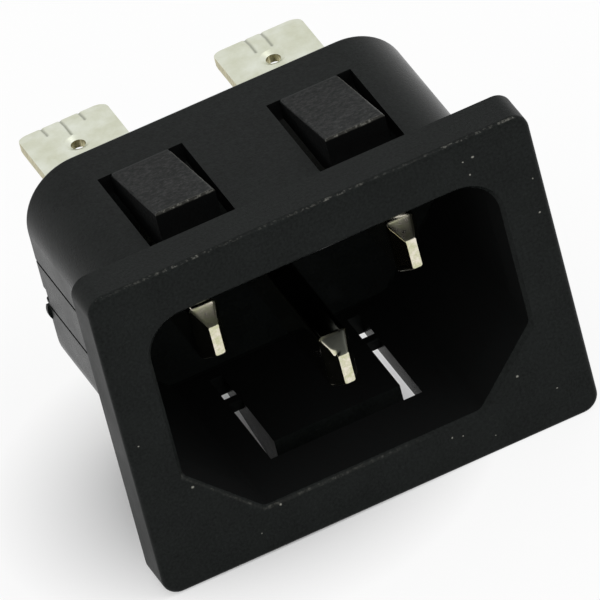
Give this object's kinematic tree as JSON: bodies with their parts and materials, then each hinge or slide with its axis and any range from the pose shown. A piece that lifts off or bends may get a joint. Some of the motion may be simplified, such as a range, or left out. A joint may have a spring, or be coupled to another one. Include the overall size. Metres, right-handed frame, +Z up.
{
  "type": "c14 panel inlet socket",
  "caption": "Snap-in appliance inlet: keyed rectangular socket with recessed blade contacts, a panel flange with moulded latches, and quick-connect tabs at the rear.",
  "frame": {"origin": "centre of the flange's rear face, in the plane that seats on the panel and in line with the socket", "axes": "+X to the right seen from the front, +Y back through the panel towards the tabs, +Z up (the socket's flat side is up, its sloping corners and the earth blade are down)"},
  "size_m": [0.031, 0.0282, 0.024],
  "materials": {
    "moulding": "black polyamide, moulded with a fine matt grain",
    "blade": "nickel-plated brass, satin, with pressed ends",
    "tab": "tin-plated brass strip, satin, with stamped edges"
  },
  "bodies": {
    "root": {"housing": "moulding", "line_blade": "blade", "neutral_blade": "blade", "earth_blade": "blade", "line_tab": "tab", "neutral_tab": "tab", "earth_tab": "tab"}
  },
  "joints": []
}
